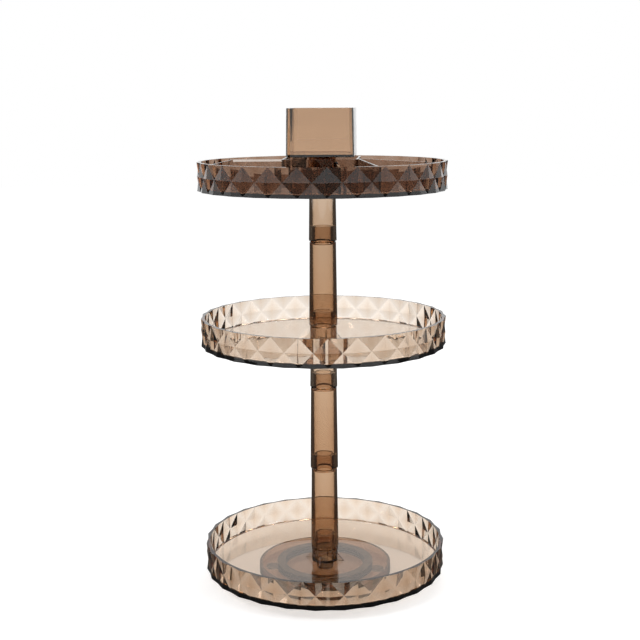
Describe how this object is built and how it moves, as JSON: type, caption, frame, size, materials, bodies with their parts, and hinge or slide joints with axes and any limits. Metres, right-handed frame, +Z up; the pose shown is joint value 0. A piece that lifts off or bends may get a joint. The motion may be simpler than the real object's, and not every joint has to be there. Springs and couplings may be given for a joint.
{
  "type": "rotating makeup organizer",
  "caption": "Tiered round carousel of smoked clear plastic with diamond-cut rims, a plug-together column, a divider insert and a brush cup, turning on a ball-bearing foot.",
  "frame": {"origin": "on the table, on the column's axis, at the underside of the rubber pads", "axes": "+Z up along the column and the turning axis; +X along the divider insert's long cross wall; -Y is the front of the picture, turned 4.4 degrees"},
  "size_m": [0.26, 0.26, 0.5061],
  "materials": {
    "smoked_plastic": "clear moulded polystyrene with a smoky brown tint, polished",
    "rubber": "matte moulded",
    "acetal": "dark brown moulded acetal",
    "steel": "bright ground steel"
  },
  "bodies": {
    "base": {"foot": "smoked_plastic", "rubber_pad_1": "rubber", "rubber_pad_2": "rubber", "rubber_pad_3": "rubber", "rubber_pad_4": "rubber", "rubber_pad_5": "rubber", "rubber_pad_6": "rubber", "lower_race": "acetal", "pivot_screw": "steel", "pivot_washer": "steel"},
    "ball_ring": {"ball_cage": "acetal", "bearing_balls": "steel"},
    "carousel": {"upper_race": "acetal", "bottom_tray": "smoked_plastic", "lower_tube": "smoked_plastic", "middle_tube": "smoked_plastic", "middle_tray": "smoked_plastic", "upper_tube": "smoked_plastic", "top_tray": "smoked_plastic"},
    "insert": {"divider_insert": "smoked_plastic"},
    "cup": {"brush_cup": "smoked_plastic"}
  },
  "joints": [
    {"name": "carousel_turn", "type": "hinge", "parent": "base", "child": "carousel", "pos_m": [0, 0, 0.0123], "axis": [0, 0, 1], "continuous": true},
    {"name": "ball_ring_turn", "type": "hinge", "parent": "base", "child": "ball_ring", "pos_m": [0, 0, 0.0084], "axis": [0, 0, 1], "continuous": true},
    {"name": "insert_lift", "type": "slide", "parent": "carousel", "child": "insert", "axis": [0, 0, 1], "range_m": [0, 0.045]},
    {"name": "cup_lift", "type": "slide", "parent": "carousel", "child": "cup", "axis": [0, 0, 1], "range_m": [0, 0.06]}
  ],
  "couplings": [
    {"joint": "ball_ring_turn", "follows": "carousel_turn", "ratio": 0.5}
  ]
}
